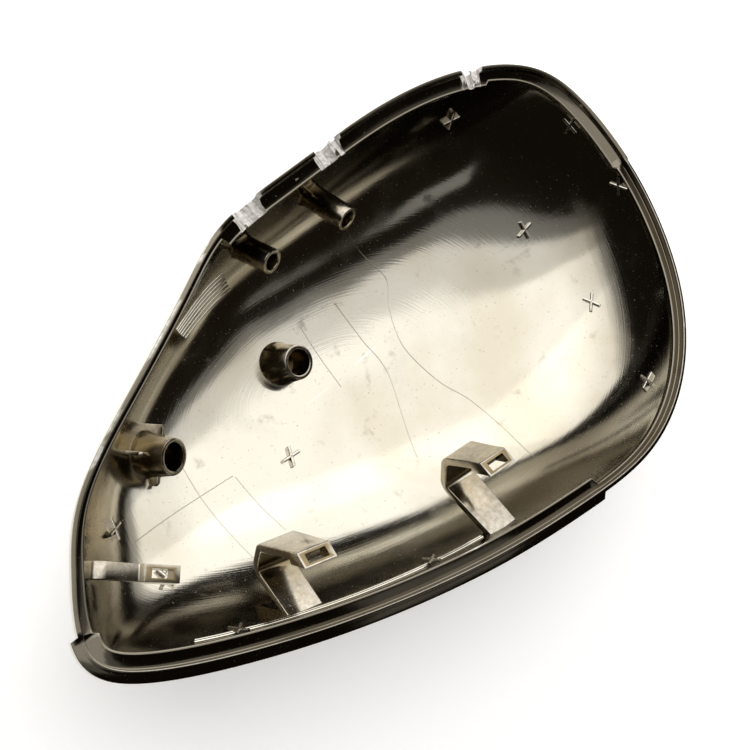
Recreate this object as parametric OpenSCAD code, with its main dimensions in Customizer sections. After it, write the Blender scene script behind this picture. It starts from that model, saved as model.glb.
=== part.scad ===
// Wing mirror cover: a chrome plated moulded shell, laid on its dome with the open side up.
// X runs along the cover to its wide end, Y to the upper edge of the mirror, Z out of the mouth.
// The origin is under the middle of the outline, at the lowest point of the dome.

/* [Body] */
// Length of the outline of the rim
body_l = 224; // [190:1:270]
// Width of the outline of the rim
body_w = 137; // [115:1:165]
// Depth of the shell, at the highest part of the rim
body_h = 47; // [42:1:56]
// How far both ends of the rim fall below its middle
rim_sag = 8; // [0:0.5:12]
// Thickness of the moulded wall
wall = 2.5; // [2:0.1:3.5]

/* [Dome] */
// Centre of the dome along the cover
crown_x = -3.3; // [-6:0.1:0]
// Centre of the dome across the cover
crown_y = -3.2; // [-5:0.1:-1]
// Half length of the oval that the floor of the bowl follows
core_l = 129; // [122:1:132]
// Half width of that oval
core_w = 66; // [60:0.5:68]
// Angle of that oval to the length of the cover
core_turn = 3; // [0:1:8]
// How late the sections change from that oval to the outline of the rim
core_hold = 1.45; // [1.2:0.05:1.8]
// Fullness of the floor, where more is flatter
fullness = 2.8; // [2.5:0.05:3.1]
// Change of that fullness from one side to the other
full_side = 0.8; // [0.4:0.05:0.9]
// Change of it between the corners and the middles of the sides
full_corner = 0.65; // [0.3:0.05:0.75]
// Steepness of the walls, where more is steeper
steepness = 2.95; // [2.7:0.05:3.3]
// Change of that steepness from one end to the other
steep_end = 0.6; // [0.3:0.05:0.7]
// Change of it between the long sides and the ends
steep_side = 1.1; // [0.7:0.05:1.2]
// Share of a quarter wave that the wall reaches at the rim, which leaves some draft
rim_reach = 0.985; // [0.975:0.005:0.99]

/* [Rim] */
// Thickness of the thin edge that stands round the rim
edge_t = 1.2; // [0.8:0.1:2]
// Depth of the ledge below the top of that edge
ledge_drop = 1.8; // [1:0.1:3]
// Height of the bead under the inner line of the ledge
bead_h = 1.6; // [1:0.1:2.5]
// Width of the ledge along the lower lip
lip_ledge = 4.2; // [3:0.1:5]
// How far the lower lip stands out of the wall
lip_flange = 2; // [1:0.1:3]
// Width of the ledge round the plain ends
plain_ledge = 1.5; // [1.4:0.1:2.5]
// Width of the ledge at the wide corner
corner_ledge = 2.8; // [1.5:0.1:4]
// Width of the ledge along the upper edge
upper_ledge = 4; // [2:0.1:5]
// Fine bead along the outside of the plain edges
edge_bead = 0.2; // [0.1:0.1:0.5]
// Height of the outer face of the lip
flange_h = 2.2; // [1.5:0.1:3]
// Height of the outer face of the plain edges
plain_h = 1.4; // [1:0.1:2]
// Fall of the lip from the edge to its outer corner
flange_drop = 1.2; // [0.5:0.1:2]

/* [Broken notches] */
// Length of a notch along the rim
notch_l = 11; // [6:0.5:14]
// Depth of a notch below the rim
notch_h = 5; // [3:0.5:8]

/* [Floor bosses] */
// Outer diameter of a floor boss at its end
boss_od = 10.4; // [9.6:0.2:13]
// Outer diameter of a floor boss at its root
boss_root_od = 12.6; // [11:0.2:15]
// Height of a floor boss
boss_h = 9.5; // [6:0.5:14]
// Bore of a floor boss
boss_bore = 7.7; // [5:0.1:8.4]
// Depth of that bore
boss_bore_h = 8; // [5:0.5:9]
// Reach of the gussets round the boss at the narrow end
gusset_r = 8.4; // [7.5:0.2:11]
// Height of the gussets
gusset_h = 5; // [3:0.5:8]
// Thickness of gussets and ribs
rib_t = 1.2; // [0.8:0.1:2]

/* [Wall tubes] */
// Outer diameter of a wall tube
tube_od = 7.6; // [6.5:0.1:9]
// Bore of a wall tube
tube_bore = 4.8; // [3:0.1:5.4]
// Length of the tube at the corner
tube_short = 12; // [8:0.5:16]
// Length of the tube along the upper edge
tube_long = 15.5; // [10:0.5:20]
// Depth of the bores
tube_bore_h = 8; // [5:0.5:9]

/* [Hooks] */
// Width of the two large hook straps
hook_w = 10.8; // [9:0.2:13]
// Width of the eye block at their ends
eye_w = 9.6; // [8:0.2:11]
// Thickness of the straps
hook_t = 2.4; // [2:0.1:3.2]
// Inner radius of the bends in a strap
hook_bend = 2; // [1:0.25:3]
// Depth of the eye block
eye_d = 3.8; // [3.6:0.1:5]
// Height of the eye block
eye_h = 5; // [4.5:0.25:7]
// Rim left along the window of an eye
eye_rim = 1; // [0.8:0.1:1.2]
// Rim left at both ends of the window of an eye
eye_end = 1.8; // [1.2:0.1:2.4]
// Width of the small hook at the narrow end
small_w = 4.4; // [4:0.1:6]
// Length of the frame at its end
small_l = 10; // [8:0.5:12]
// Height of that frame
small_h = 5; // [4:0.5:7]

/* [Fine ribs] */
// Height of the small crosses
cross_h = 1.4; // [0.8:0.1:2.5]
// Length of their arms
cross_l = 6; // [4:0.5:8]
// Thickness of their arms
cross_t = 1; // [0.6:0.1:1.4]
// Height of the rib along the lower wall
rail_h = 1; // [0.6:0.1:1.6]
// Width of that rib
rail_w = 1.4; // [1:0.1:2]
// Height of the plain ridges at the corner
ridge_h = 0.4; // [0.3:0.1:0.8]
// Number of those ridges
ridge_count = 6; // [3:1:8]

/* [Hidden] */
$fn = 48;

// The outline of the rim as a closed control frame, in hundredths of its half length and half width.
rim_shape = [
    [-100.5, -66.5], [-90.5, -79], [-66, -88.5], [-36, -95.5], [0, -98], [31, -94], [60, -89],
    [83.5, -65], [98, -28], [101, 12.5], [98, 45], [89, 79.5], [76, 98], [48, 101.5],
    [18.5, 93.5], [-14, 75], [-35, 65], [-47, 45.5], [-67, 17.5], [-88.5, -11.5], [-94.5, -36.5]
];
rim_n = len(rim_shape);
rim_frame = [for (p = rim_shape) [p.x * body_l, p.y * body_w] / 200];
crown = [crown_x, crown_y];

// Stations round the rim are counted in control points, from the start of the lower lip.
lip_from = -0.25;
lip_to = 5.24;
corner_from = 9.89;
upper_from = 12.59;
upper_to = 16.11;
station_step = 0.25;
zone_gap = 0.02;
levels = 13;
level_power = 2.4;
halvings = 14;
under_drop = 0.5;

// Where the two waves of fullness and of steepness round the dome have their first crest.
full_side_turn = 66;
full_corner_turn = 126;
steep_end_turn = -170;
steep_side_turn = 91;

// Each zone of the rim: its first station, the width of its ledge, and the reach and height of its outer face.
zones = [
    [lip_from, lip_ledge, lip_flange, flange_h],
    [lip_to, plain_ledge, edge_bead, plain_h],
    [corner_from, corner_ledge, edge_bead, plain_h],
    [upper_from, upper_ledge, edge_bead, plain_h],
    [upper_to, plain_ledge, edge_bead, plain_h]
];

// What stands on the wall reaches this far into it, and the posts are made this much longer before that cut.
root_in = 1.2;
stud_root = 6;
seat_room = 80;
bend_steps = 5;
rib_step = 0.2;
gusset_turn = 20;
cross_turn = 80;
fin_l = 10;
fin_low = 0.8;
fin_high = 3.4;

// Places on the wall: station, level and the axis of the post.
boss_mid = [16.72, 0.115, [0.157, -0.245, 0.957]];
boss_end = [18.75, 0.395, [0.428, -0.389, 0.816]];
tube_corner = [15.44, 0.722, [0.292, -0.709, 0.642]];
tube_upper = [14.5, 0.761, [0.255, -0.802, 0.54]];

// Each hook: station, level and turn of its seat, and its corner points from there, inwards and up.
near_at = [2.53, 0.81, 87.5];
near_path = [[-1.3, 0.7], [13.5, -9.3], [18.7, -1], [14.8, 14.6]];
far_at = [4.41, 0.85, 98.3];
far_path = [[-1.3, 1], [17.7, -7.2], [24.5, 0.4], [21, 10.5]];
small_at = [20, 0.88, -26];
small_path = [[-1.3, -1], [2.5, 3], [12.5, 0.6], [14, 0.6]];
small_rise = 2;
eye_slope = 0.75;
eye_reach = 10;

// The small cross ribs: station, level and turn.
crosses = [
    [1.66, 0.16, 10], [9.95, 0.55, 30], [8.28, 0.64, 60], [0.5, 0.54, 40], [19.79, 0.595, 20], [10.78, 0.9, 45],
    [12.67, 0.8, 15], [9.64, 0.9, 70], [6.96, 0.87, 30], [1.93, 0.86, 45], [3.68, 0.855, 40]
];

// The rib along the lower wall and the plain ridges at the corner.
rail_from = 1.5;
rail_to = 4.2;
rail_level = 0.845;
ridge_from = 15.8;
ridge_to = 17;
ridge_low = 0.5;
ridge_high = 0.63;
ridge_w = 0.7;

// The broken notches: station, share of the full size, and which way round they lie.
notches = [[15.6, 1, 1], [14.57, 1, -1], [12.8, 0.8, 1]];
ragged = [[-0.5, 0.4], [-0.46, -0.7], [-0.24, -0.52], [-0.05, -1], [0.16, -0.66], [0.4, -0.86], [0.5, 0.4]];
notch_through = 9;

function unit(v) = v / norm(v);
function mix(a, b, k) = a + (b - a) * k;

// A point of a closed uniform cubic spline.
function spline(c, t) =
    let (n = len(c), i = floor(t), s = t - i, r = 1 - s)
    (r^3 * c[(i + n - 1) % n] + (3 * s^3 - 6 * s^2 + 4) * c[(i + n) % n]
        + (3 * r^3 - 6 * r^2 + 4) * c[(i + n + 1) % n] + s^3 * c[(i + n + 2) % n]) / 6;

function rim_xy(t) = spline(rim_frame, t);
function rim_z(p) = body_h - rim_sag * (2 * p.x / body_l)^2;

// The outer skin, from the crown at level 0 to the rim at level 1.
function core_r(a) = core_l * core_w / sqrt((core_w * cos(a))^2 + (core_l * sin(a))^2);
function full_at(a) =
    full_side * cos(a - full_side_turn) + full_corner * cos(2 * (a - full_corner_turn));
function steep_at(a) =
    steep_end * cos(a - steep_end_turn) + steep_side * cos(2 * (a - steep_side_turn));
function lift(a, rho) =
    1 - (1 - (rho * rim_reach)^(fullness + rho^2 * full_at(a)))^(1 / (steepness + rho^2 * steep_at(a)));
function skin(t, f) =
    let (
        p = rim_xy(t),
        d = p - crown,
        r = norm(d),
        a = atan2(d.y, d.x),
        rho = sin(asin(rim_reach^(level_power / 2)) * f)^(2 / level_power) / rim_reach,
        k = rho * mix(core_r(a - core_turn), r, rho^core_hold) / r
    )
    [crown.x + k * d.x, crown.y + k * d.y, rim_z(p) * lift(a, rho) / lift(a, 1)];

// The normal of the skin into the bowl, and the inner face of the wall.
normal_step = 0.01;
function inward(t, f) =
    unit(cross(skin(t + normal_step, f) - skin(t - normal_step, f),
        skin(t, f - normal_step) - skin(t, f + normal_step)));
function seat(t, f) = skin(t, f) + wall * inward(t, f);

// A point by the rim: w out of the edge of the outline and h above it.
function outward(t) =
    let (d = unit(rim_xy(t + normal_step) - rim_xy(t - normal_step))) [d.y, -d.x];
function at_rim(t, w, h) =
    let (p = skin(t, 1), n = outward(t)) [p.x + w * n.x, p.y + w * n.y, p.z + h];

// The level where a face of the wall, off the skin by a thickness, is this far below the rim.
function level_at(t, drop, off, low = 0.5, high = 1, k = halvings) =
    let (mid = (low + high) / 2, z = skin(t, mid).z + off * inward(t, mid).z)
    k == 0 ? mid
        : z > rim_z(rim_xy(t)) - drop ? level_at(t, drop, off, low, mid, k - 1)
        : level_at(t, drop, off, mid, high, k - 1);

// One section of the wall from the crown inside to the crown outside. Where the wall slopes, its ledge widens.
function section(t, ledge, flange, face_h) =
    let (
        top = level_at(t, ledge_drop + bead_h, wall),
        under = level_at(t, flange_drop + face_h + under_drop, 0),
        reach = seat(t, top) - skin(t, 1),
        n = outward(t),
        inner = min(-edge_t - ledge, reach.x * n.x + reach.y * n.y)
    )
    concat(
        [for (j = [1:levels - 1]) seat(t, top * j / levels)],
        [
            at_rim(t, inner, -ledge_drop - bead_h),
            at_rim(t, inner, -ledge_drop),
            at_rim(t, -edge_t, -ledge_drop),
            at_rim(t, -edge_t, 0),
            at_rim(t, 0, 0),
            at_rim(t, flange, -flange_drop),
            at_rim(t, flange, -flange_drop - face_h),
            skin(t, under)
        ],
        [for (j = [levels - 1:-1:1]) skin(t, under * j / levels)]
    );

stations = [
    for (z = [0:len(zones) - 1])
        let (
            from = zones[z][0] + zone_gap,
            to = (z + 1 < len(zones) ? zones[z + 1][0] : lip_from + rim_n) - zone_gap,
            n = ceil((to - from) / station_step)
        )
        for (i = [0:n]) [mix(from, to, i / n), zones[z][1], zones[z][2], zones[z][3]]
];

module shell() {
    rows = [for (s = stations) section(s[0], s[1], s[2], s[3])];
    m = len(rows[0]);
    n = len(rows);
    points = concat([for (r = rows) each r], [[crown.x, crown.y, wall], [crown.x, crown.y, 0]]);
    faces = concat(
        [for (i = [0:n - 1]) let (k = (i + 1) % n) for (j = [0:m - 2])
            each [[i * m + j, k * m + j + 1, i * m + j + 1], [i * m + j, k * m + j, k * m + j + 1]]],
        [for (i = [0:n - 1]) let (k = (i + 1) % n)
            each [[n * m, k * m, i * m], [n * m + 1, i * m + m - 1, k * m + m - 1]]]
    );
    polyhedron(points, faces);
}

// A child turned so that its Z axis lies along n, at a point.
module aim(at, n) translate(at) rotate([0, acos(n.z), atan2(n.y, n.x)]) children();

// What stands on the wall is cut off inside it, along the plane of its seat.
module seated(t, f)
    intersection() {
        children();
        aim(seat(t, f), inward(t, f))
            translate([-seat_room / 2, -seat_room / 2, -root_in]) cube(seat_room);
    }

// A hollow stud: a round post with a blind bore, conical where its root is wider.
module stud(place, h, root_d, end_d, bore, bore_h)
    seated(place[0], place[1])
        aim(seat(place[0], place[1]), unit(place[2]))
            difference() {
                translate([0, 0, -stud_root]) cylinder(h = h + stud_root, d1 = root_d, d2 = end_d);
                translate([0, 0, h - bore_h]) cylinder(h = bore_h + 1, d = bore);
            }

// Four thin gussets round the boss at the narrow end.
module gussets(place)
    seated(place[0], place[1])
        aim(seat(place[0], place[1]), unit(place[2]))
            for (a = [gusset_turn:90:gusset_turn + 270])
                rotate([0, 0, a])
                    translate([boss_bore / 2 + rib_t / 2, -rib_t / 2, -stud_root])
                        cube([gusset_r - boss_bore / 2 - rib_t / 2, rib_t, gusset_h + stud_root]);

// The fin that runs up the wall from the root of the long tube.
module fin(place)
    seated(place[0], place[1])
        aim(seat(place[0], place[1]), inward(place[0], place[1]))
            rotate([90, 0, 0]) translate([0, 0, -rib_t / 2]) linear_extrude(rib_t)
                polygon([[0, -stud_root], [-fin_l, -stud_root], [-fin_l, fin_low], [-tube_od / 2, fin_high],
                    [0, fin_high]]);

// A small cross rib on the wall.
module cross_rib(t, f, turn)
    aim(seat(t, f), inward(t, f)) rotate([0, 0, turn])
        for (a = [0, cross_turn]) rotate([0, 0, a])
            translate([-cross_l / 2, -cross_t / 2, -root_in]) cube([cross_l, cross_t, cross_h + root_in]);

// A fine rib that follows the wall from station t0 to t1 at level f.
module wall_rib(t0, t1, f, w, h) {
    n = ceil((t1 - t0) / rib_step);
    points = [
        for (i = [0:n])
            let (
                t = mix(t0, t1, i / n),
                p = seat(t, f),
                up = inward(t, f),
                along = unit(skin(t, f + normal_step) - skin(t, f - normal_step))
            )
            each [p - along * w / 2 - up * root_in, p - along * w / 3 + up * h,
                p + along * w / 3 + up * h, p + along * w / 2 - up * root_in]
    ];
    faces = concat(
        [[0, 3, 2, 1], [4 * n, 4 * n + 1, 4 * n + 2, 4 * n + 3]],
        [for (i = [0:n - 1]) for (j = [0:3]) let (k = (j + 1) % 4)
            each [[4 * i + j, 4 * i + k, 4 * i + 4 + k], [4 * i + j, 4 * i + 4 + k, 4 * i + 4 + j]]]
    );
    polyhedron(points, faces);
}

// A path with its inner corners rounded to radius r, and the outline of a strip along it.
function turned(v, a) = [v.x * cos(a) - v.y * sin(a), v.x * sin(a) + v.y * cos(a)];
function corner(a, b, c, r) =
    let (
        u = unit(a - b),
        v = unit(c - b),
        half = acos(u * v) / 2,
        start = b + u * r / tan(half),
        centre = b + unit(u + v) * r / sin(half),
        sense = sign(u.x * v.y - u.y * v.x)
    )
    [for (k = [0:bend_steps]) centre + turned(start - centre, -sense * (180 - 2 * half) * k / bend_steps)];
function rounded(p, r) =
    concat([p[0]], [for (i = [1:len(p) - 2]) each corner(p[i - 1], p[i], p[i + 1], r)], [p[len(p) - 1]]);
function side(p, w) =
    let (m = len(p) - 1)
    [for (i = [0:m])
        let (
            ahead = i < m ? unit(p[i + 1] - p[i]) : [0, 0],
            behind = i > 0 ? unit(p[i] - p[i - 1]) : [0, 0],
            d = unit(ahead + behind)
        )
        p[i] + w * [-d.y, d.x]];
function reversed(p) = [for (i = [len(p) - 1:-1:0]) p[i]];

// A moulded hook: a bent strap from the wall that narrows to an eye block at its end.
// Its path runs in towards the middle of the bowl and up, from the seat on the wall.
module hook(at, path) {
    end = path[3];
    plate_l = norm(end - path[2]);
    up = unit(end - path[2]);
    back = [-up.y, up.x];
    face = end - back * hook_t / 2;
    slope = eye_d * eye_slope;
    strap = rounded(path, hook_bend + hook_t / 2);
    eye = [face + back * eye_d, face + back * eye_d + up * (eye_h + slope), face + up * eye_h];
    mid = (eye[1] + eye[2]) / 2;
    lean = atan2(eye_d * back.y + slope * up.y, eye_d * back.x + slope * up.x);
    window_w = eye_w - 2 * eye_end;
    window_h = norm([eye_d, slope]) - 2 * eye_rim;
    translate(seat(at[0], at[1])) rotate([0, 0, at[2]]) rotate([90, 0, 0])
        difference() {
            intersection() {
                linear_extrude(hook_w, center = true)
                    polygon(concat(side(strap, hook_t / 2), eye, reversed(side(strap, -hook_t / 2))));
                translate(path[2]) rotate([0, 0, atan2(up.y, up.x)]) rotate([90, 0, 0])
                    linear_extrude(seat_room, center = true)
                        polygon([[-seat_room, hook_w], [-seat_room, -hook_w], [0, -hook_w / 2],
                            [plate_l, -eye_w / 2], [seat_room, -eye_w / 2], [seat_room, eye_w / 2],
                            [plate_l, eye_w / 2], [0, hook_w / 2]]);
            }
            translate(mid) rotate([0, 0, lean])
                cube([window_h, 2 * eye_reach, window_w], center = true);
        }
}

// The small hook at the narrow end: a thin strap with an upright frame at its end.
module small_hook() {
    end = small_path[3];
    strap = rounded(small_path, hook_bend + hook_t / 2);
    translate(seat(small_at[0], small_at[1])) rotate([0, 0, small_at[2]]) rotate([90, 0, 0])
        difference() {
            linear_extrude(small_w, center = true)
                polygon(concat(side(strap, hook_t / 2),
                    [end + [0, small_rise], end + [small_l - 1, small_rise],
                        end + [small_l - 1, small_rise - small_h], end + [0, small_rise - small_h]],
                    reversed(side(strap, -hook_t / 2))));
            translate(end + [(small_l - 1) / 2, 0])
                cube([small_l - 1 - 2 * eye_end, seat_room, small_w - 2 * eye_rim], center = true);
        }
}

// A ragged piece broken out of the rim at station t.
module notch(t, size, flip) {
    n = outward(t);
    at = skin(t, 1);
    translate(at) rotate([0, 0, atan2(n.y, n.x) + 90]) rotate([90, 0, 0])
        translate([0, 0, -notch_through]) linear_extrude(2 * notch_through)
            polygon([for (p = ragged) [flip * p.x * notch_l * size, p.y * notch_h * size]]);
}

module mirror_cover()
    color("#b9b09a") {
        difference() {
            shell();
            for (n = notches) notch(n[0], n[1], n[2]);
        }
        stud(boss_mid, boss_h, boss_root_od, boss_od, boss_bore, boss_bore_h);
        stud(boss_end, boss_h, boss_root_od, boss_od, boss_bore, boss_bore_h);
        gussets(boss_end);
        stud(tube_corner, tube_short, tube_od, tube_od, tube_bore, tube_bore_h);
        stud(tube_upper, tube_long, tube_od, tube_od, tube_bore, tube_bore_h);
        fin(tube_upper);
        hook(near_at, near_path);
        hook(far_at, far_path);
        small_hook();
        for (c = crosses) cross_rib(c[0], c[1], c[2]);
        wall_rib(rail_from, rail_to, rail_level, rail_w, rail_h);
        for (i = [0:ridge_count - 1])
            wall_rib(ridge_from, ridge_to, mix(ridge_low, ridge_high, i / (ridge_count - 1)), ridge_w, ridge_h);
    }

mirror_cover();
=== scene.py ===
import math
import bmesh
import bpy
import numpy as np
from mathutils import Matrix, Vector
from mathutils.bvhtree import BVHTree


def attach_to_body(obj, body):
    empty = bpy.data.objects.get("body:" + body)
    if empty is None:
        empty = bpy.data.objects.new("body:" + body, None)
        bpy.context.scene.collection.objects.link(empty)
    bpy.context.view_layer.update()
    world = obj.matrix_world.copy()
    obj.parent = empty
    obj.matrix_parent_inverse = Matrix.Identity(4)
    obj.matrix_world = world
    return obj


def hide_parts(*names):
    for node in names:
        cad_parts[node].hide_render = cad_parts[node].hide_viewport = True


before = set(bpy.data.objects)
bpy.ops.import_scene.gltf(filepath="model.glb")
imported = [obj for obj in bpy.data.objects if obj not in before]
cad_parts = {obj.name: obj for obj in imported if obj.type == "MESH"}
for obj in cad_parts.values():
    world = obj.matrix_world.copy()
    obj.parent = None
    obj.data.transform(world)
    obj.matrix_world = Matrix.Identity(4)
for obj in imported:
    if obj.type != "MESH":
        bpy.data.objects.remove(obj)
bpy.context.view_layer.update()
scene = bpy.context.scene


# Moulded shell: one thin injection moulding of ABS plastic, a deep bowl with a fuller floor and a steep wall.
# The outline is one closed smooth curve, and one rule gives the section all the way round. The rim is stepped:
# a thin standing edge, a ledge inside it, and a lip outside it along the lower side.
BODY_L = 0.224
BODY_W = 0.137
RIM_SHAPE = [
    (-100.5, -66.5), (-90.5, -79), (-66, -88.5), (-36, -95.5), (0, -98), (31, -94), (60, -89),
    (83.5, -65), (98, -28), (101, 12.5), (98, 45), (89, 79.5), (76, 98), (48, 101.5),
    (18.5, 93.5), (-14, 75), (-35, 65), (-47, 45.5), (-67, 17.5), (-88.5, -11.5), (-94.5, -36.5),
]
STATIONS = len(RIM_SHAPE)
EDGE_T = 0.0012
LEDGE_DROP = 0.0018
BEAD_H = 0.0016
BEAD_FOOT = 0.0012
BEAD_FOOT_H = 0.0026
FLANGE_DROP = 0.0012
UNDER_DROP = 0.0005
CORNER_R = 0.00032
LEDGE_NOSE = 0.0006
DRAFT = 0.0001
LIP_FOOT_H = 0.0003
LIP_SLOPE = 0.2
ZONE_GAP = 0.02
# Each zone of the rim: first station, width of the ledge, reach and height of the outer face, how far the ledge
# falls towards the bowl, and how far the top of the edge falls outwards.
RIM_ZONES = [
    (-0.25, 0.0042, 0.002, 0.0022, -0.0012, 0.0004),
    (5.24, 0.0015, 0.0002, 0.0014, -0.0006, 0.0005),
    (9.89, 0.0028, 0.0002, 0.0014, 0.0009, -0.0004),
    (12.59, 0.004, 0.0002, 0.0014, 0.0012, -0.0004),
    (16.11, 0.0015, 0.0002, 0.0014, 0.0004, 0.0),
]
WALL = 0.0025
STATION_STEP = 0.07
LEVEL_SAMPLE = 0.004
INNER_LEVELS = 60
OUTER_LEVELS = 40
SHELL_SIZES = {
    "Crown X": -0.0033, "Crown Y": -0.0032, "Core Length": 0.129, "Core Width": 0.066,
    "Core Turn": math.radians(3), "Core Hold": 1.45, "Level Power": 2.4,
    "Fullness": 2.8, "Side Fullness": 0.8, "Side Turn": math.radians(66),
    "Corner Fullness": 0.65, "Corner Turn": math.radians(126),
    "Steepness": 2.95, "End Steepness": 0.6, "End Turn": math.radians(-170),
    "Side Steepness": 1.1, "Side Steep Turn": math.radians(91),
    "Rim Reach": 0.985, "Rim Height": 0.047, "Rim Sag": 0.008, "Half Length": BODY_L / 2,
}


def outline_point(station):
    """The closed smooth outline of the rim, in metres, at a station counted in points of its frame."""
    first = math.floor(station)
    s = station - first
    r = 1 - s
    weights = (r**3, 3 * s**3 - 6 * s**2 + 4, 3 * r**3 - 6 * r**2 + 4, s**3)
    points = [RIM_SHAPE[(first + k) % STATIONS] for k in (-1, 0, 1, 2)]
    x = sum(w * p[0] for w, p in zip(weights, points)) / 6
    y = sum(w * p[1] for w, p in zip(weights, points)) / 6
    return Vector((x * BODY_L / 200, y * BODY_W / 200, 0))


def rounded_path(points, radius, steps):
    """A path with each inner corner replaced by an arc."""
    path = [points[0]]
    for before, b, after in zip(points, points[1:], points[2:]):
        u = (before - b).normalized()
        v = (after - b).normalized()
        half = math.acos(max(-1, min(1, u.dot(v)))) / 2
        reach = min(radius / math.tan(half), 0.45 * (before - b).length, 0.45 * (after - b).length)
        r = reach * math.tan(half)
        start = b + u * reach
        centre = b + (u + v).normalized() * r / math.sin(half)
        sense = 1 if u.x * v.y - u.y * v.x > 0 else -1
        for k in range(steps + 1):
            turn = -sense * (math.pi - 2 * half) * k / steps
            c, s = math.cos(turn), math.sin(turn)
            arm = start - centre
            path.append(centre + Vector((arm.x * c - arm.y * s, arm.x * s + arm.y * c)))
    path.append(points[-1])
    return path


def rim_profile(inner, lip, face_h, fall, tip):
    """The stepped section of the rim, from the inner wall to the outer skin: outwards, and upwards."""
    inner_drop = LEDGE_DROP + max(fall, 0)
    outer_drop = LEDGE_DROP + max(-fall, 0)
    corners = [
        (inner - BEAD_FOOT, -inner_drop - BEAD_H - BEAD_FOOT_H), (inner, -inner_drop - BEAD_H),
        (inner, -inner_drop), (inner + LEDGE_NOSE, -inner_drop), (-EDGE_T - DRAFT, -outer_drop),
        (-EDGE_T, min(tip, 0)), (0, -max(tip, 0)), (lip, -max(tip, 0) - lip * LIP_SLOPE),
        (lip, -FLANGE_DROP - face_h), (lip / 2 - DRAFT, -FLANGE_DROP - face_h - LIP_FOOT_H),
    ]
    return rounded_path([Vector(c) for c in corners], CORNER_R, 3)[1:-1]


def attach(tree, socket, value):
    """Joins a value to a socket: another socket by a link, anything else as its default."""
    if isinstance(value, bpy.types.NodeSocket):
        tree.links.new(value, socket)
    else:
        socket.default_value = value


def wired(tree, kind, inputs=(), output=0, **settings):
    """One node with its inputs joined or set, and one of its results, or all of them where output is None."""
    node = tree.nodes.new(kind)
    for name, value in settings.items():
        setattr(node, name, value)
    for name, value in dict(inputs).items():
        attach(tree, node.inputs[name], value)
    return node.outputs if output is None else node.outputs[output]


def maths(tree, operation, *values):
    """One maths node, and its result."""
    return wired(tree, "ShaderNodeMath", enumerate(values), operation=operation)


def vector_maths(tree, operation, *values):
    """One vector maths node, and its result."""
    inputs = dict(enumerate(values))
    if operation == "SCALE":
        inputs["Scale"] = inputs.pop(1)
    output = "Value" if operation == "LENGTH" else "Vector"
    return wired(tree, "ShaderNodeVectorMath", inputs, output, operation=operation)


def group_of(kind, name, inputs, result, result_kind):
    """An empty node group: each input is a number or a kind of socket. The group, its inputs and its result."""
    tree = bpy.data.node_groups.new(name, kind)
    for label, given in inputs.items():
        socket_kind = given if isinstance(given, str) else "Float"
        socket = tree.interface.new_socket(label, in_out="INPUT", socket_type="NodeSocket" + socket_kind)
        if given != socket_kind:
            socket.default_value = given
    tree.interface.new_socket(result, in_out="OUTPUT", socket_type="NodeSocket" + result_kind)
    return tree, tree.nodes.new("NodeGroupInput").outputs, tree.nodes.new("NodeGroupOutput").inputs[result]


def skin_rule():
    """The rule of the dome: a point of the outline and a level from crown to rim give a point of the skin."""
    tree, value, result = group_of("GeometryNodeTree", "skin of the dome", {
        "Outline Point": "Vector", "Level": 1.0, **SHELL_SIZES}, "Point", "Vector")

    def do(operation, *values):
        return maths(tree, operation, *values)

    crown = wired(tree, "ShaderNodeCombineXYZ", {0: value["Crown X"], 1: value["Crown Y"]})
    arm = vector_maths(tree, "SUBTRACT", value["Outline Point"], crown)
    reach = vector_maths(tree, "LENGTH", arm)
    parts = wired(tree, "ShaderNodeSeparateXYZ", {0: arm}, None)
    angle = do("ARCTAN2", parts[1], parts[0])
    limit = do("ARCSINE", do("POWER", value["Rim Reach"], do("DIVIDE", value["Level Power"], 2.0)))
    wave = do("SINE", do("MULTIPLY", limit, value["Level"]))
    share = do("DIVIDE", do("POWER", wave, do("DIVIDE", 2.0, value["Level Power"])), value["Rim Reach"])
    turned = do("SUBTRACT", angle, value["Core Turn"])
    across = do("MULTIPLY", value["Core Width"], do("COSINE", turned))
    along = do("MULTIPLY", value["Core Length"], do("SINE", turned))
    oval = do("DIVIDE", do("MULTIPLY", value["Core Length"], value["Core Width"]),
              do("SQRT", do("ADD", do("MULTIPLY", across, across), do("MULTIPLY", along, along))))
    blend = do("POWER", share, value["Core Hold"])
    spread = do("MULTIPLY_ADD", do("SUBTRACT", reach, oval), blend, oval)
    scale = do("DIVIDE", do("MULTIPLY", share, spread), reach)
    flat = vector_maths(tree, "MULTIPLY_ADD", arm, scale, crown)

    def swing(one, one_turn, two, two_turn):
        first = do("MULTIPLY", value[one], do("COSINE", do("SUBTRACT", angle, value[one_turn])))
        double = do("MULTIPLY", 2.0, do("SUBTRACT", angle, value[two_turn]))
        return do("MULTIPLY_ADD", value[two], do("COSINE", double), first)

    fuller = swing("Side Fullness", "Side Turn", "Corner Fullness", "Corner Turn")
    steeper = swing("End Steepness", "End Turn", "Side Steepness", "Side Steep Turn")

    def rise(of):
        square = do("MULTIPLY", of, of)
        power = do("MULTIPLY_ADD", square, fuller, value["Fullness"])
        root = do("MULTIPLY_ADD", square, steeper, value["Steepness"])
        base = do("SUBTRACT", 1.0, do("POWER", do("MULTIPLY", of, value["Rim Reach"]), power))
        return do("SUBTRACT", 1.0, do("POWER", base, do("DIVIDE", 1.0, root)))

    outline = wired(tree, "ShaderNodeSeparateXYZ", {0: value["Outline Point"]})
    far = do("DIVIDE", outline, value["Half Length"])
    height = do("SUBTRACT", value["Rim Height"], do("MULTIPLY", value["Rim Sag"], do("MULTIPLY", far, far)))
    height = do("MULTIPLY", height, do("DIVIDE", rise(share), rise(1.0)))
    lift = wired(tree, "ShaderNodeCombineXYZ", {2: height})
    attach(tree, result, vector_maths(tree, "ADD", flat, lift))
    return tree


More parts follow.
